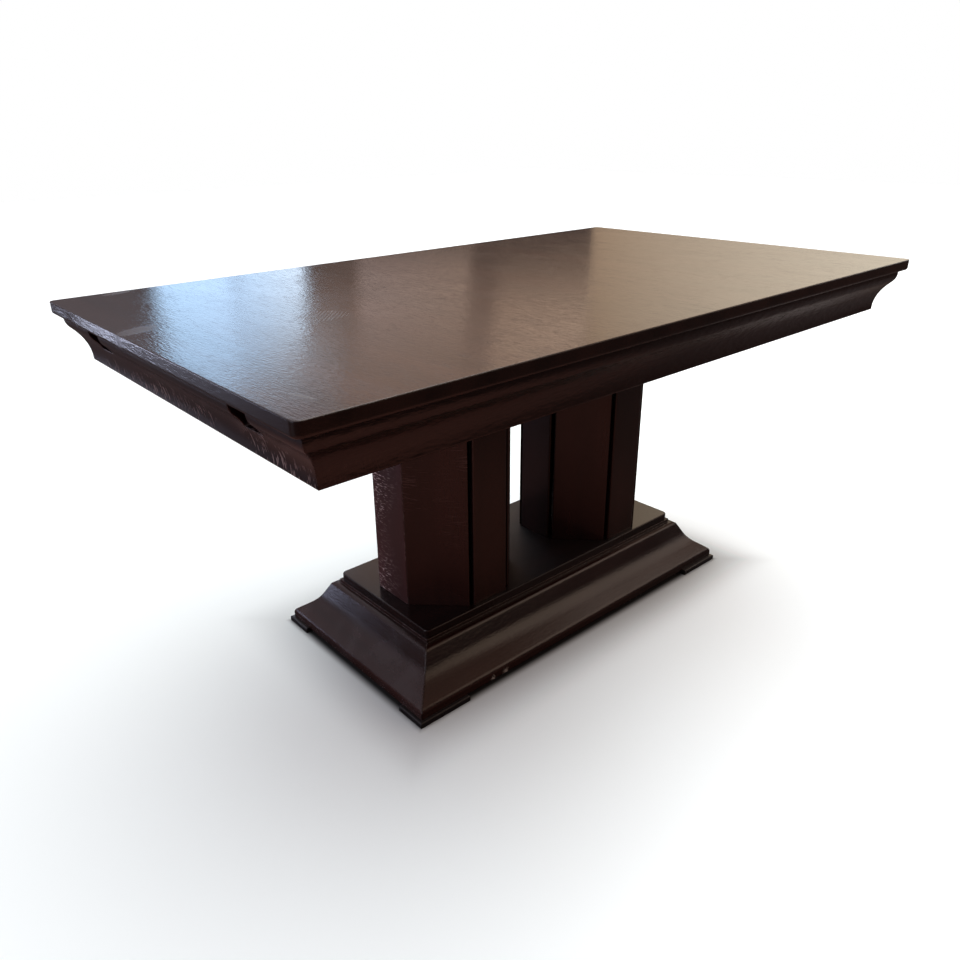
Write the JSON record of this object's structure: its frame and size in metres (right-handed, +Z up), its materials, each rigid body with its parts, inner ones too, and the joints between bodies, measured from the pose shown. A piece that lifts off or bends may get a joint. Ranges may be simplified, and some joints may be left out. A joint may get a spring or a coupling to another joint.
{
  "type": "double pedestal dining table",
  "caption": "Double pedestal dining table: rectangular top over an ogee apron, octagonal columns on one shared moulded plinth, pull-out leaf bearers in the end aprons.",
  "frame": {"origin": "middle of the footprint, on the floor", "axes": "+X along the table, +Y across it, +Z up"},
  "size_m": [1.6, 0.94, 0.76],
  "materials": {
    "top_oak": "dark stain, satin varnish",
    "moulding_oak": "dark stain, satin varnish",
    "column_oak": "dark stain, satin varnish",
    "inner_wood": "bare planed wood",
    "steel": "plain zinc grey"
  },
  "bodies": {
    "table": {"apron_back": "moulding_oak", "apron_corner_blocks": "inner_wood", "apron_front": "moulding_oak", "apron_left": "moulding_oak", "apron_right": "moulding_oak", "bearer_glue_blocks": "inner_wood", "bearer_left": "inner_wood", "bearer_right": "inner_wood", "bearer_screws": "steel", "foot_back_left": "moulding_oak", "foot_back_right": "moulding_oak", "foot_front_left": "moulding_oak", "foot_front_right": "moulding_oak", "left_column_back_face": "column_oak", "left_column_back_left_corner": "column_oak", "left_column_back_right_corner": "column_oak", "left_column_bottom_block": "inner_wood", "left_column_front_face": "column_oak", "left_column_front_left_corner": "column_oak", "left_column_front_right_corner": "column_oak", "left_column_left_face": "column_oak", "left_column_right_face": "column_oak", "left_column_top_block": "inner_wood", "left_tie_rod": "steel", "loper_keepers": "inner_wood", "loper_rails": "inner_wood", "plinth_back": "moulding_oak", "plinth_cleat_left": "inner_wood", "plinth_cleat_right": "inner_wood", "plinth_corner_blocks": "inner_wood", "plinth_front": "moulding_oak", "plinth_left": "moulding_oak", "plinth_plate": "moulding_oak", "plinth_right": "moulding_oak", "right_column_back_face": "column_oak", "right_column_back_left_corner": "column_oak", "right_column_back_right_corner": "column_oak", "right_column_bottom_block": "inner_wood", "right_column_front_face": "column_oak", "right_column_front_left_corner": "column_oak", "right_column_front_right_corner": "column_oak", "right_column_left_face": "column_oak", "right_column_right_face": "column_oak", "right_column_top_block": "inner_wood", "right_tie_rod": "steel", "table_top": "top_oak", "tie_rod_nuts": "steel", "tie_rod_washers": "steel"},
    "front_left_loper": {"loper_front_left": "moulding_oak", "loper_stop_peg_front_left": "inner_wood"},
    "back_left_loper": {"loper_back_left": "moulding_oak", "loper_stop_peg_back_left": "inner_wood"},
    "front_right_loper": {"loper_front_right": "moulding_oak", "loper_stop_peg_front_right": "inner_wood"},
    "back_right_loper": {"loper_back_right": "moulding_oak", "loper_stop_peg_back_right": "inner_wood"}
  },
  "joints": [
    {"name": "front_left_loper_slide", "type": "slide", "parent": "table", "child": "front_left_loper", "axis": [-1, 0, 0], "range_m": [0, 0.34]},
    {"name": "back_left_loper_slide", "type": "slide", "parent": "table", "child": "back_left_loper", "axis": [-1, 0, 0], "range_m": [0, 0.34]},
    {"name": "front_right_loper_slide", "type": "slide", "parent": "table", "child": "front_right_loper", "axis": [1, 0, 0], "range_m": [0, 0.34]},
    {"name": "back_right_loper_slide", "type": "slide", "parent": "table", "child": "back_right_loper", "axis": [1, 0, 0], "range_m": [0, 0.34]}
  ]
}
